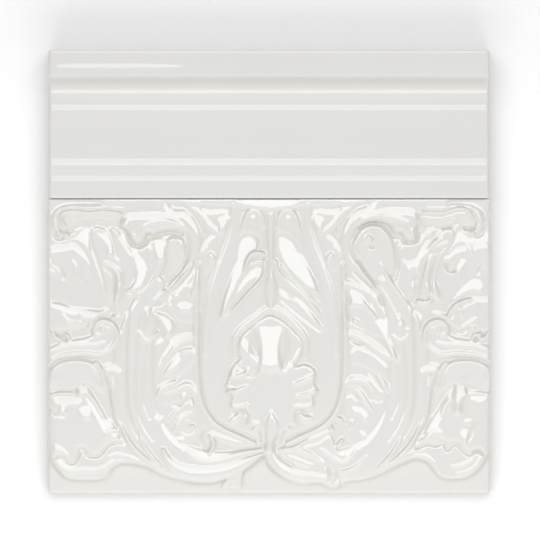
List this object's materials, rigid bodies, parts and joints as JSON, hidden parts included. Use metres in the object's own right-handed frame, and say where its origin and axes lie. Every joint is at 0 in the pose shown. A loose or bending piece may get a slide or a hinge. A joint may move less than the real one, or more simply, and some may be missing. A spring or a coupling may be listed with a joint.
{
  "type": "dado rail tile",
  "caption": "White glazed dado tile: a moulded rail tile butted over a frieze tile embossed with acanthus scrolls, a palmette and a lyre-shaped band.",
  "frame": {"origin": "under the middle of the pair, on the plane of the two flat backs", "axes": "+X along the rail, +Y towards the rail's top edge, +Z out of the glazed face; the tiles lie on their backs"},
  "size_m": [0.1524, 0.1524, 0.0156],
  "materials": {
    "rail_glaze": "clear gloss glaze over white earthenware",
    "frieze_glaze": "clear gloss glaze over white earthenware, slightly warmer where it pools in the relief"
  },
  "bodies": {
    "root": {"dado_rail_tile": "rail_glaze", "embossed_frieze_tile": "frieze_glaze"}
  },
  "joints": []
}
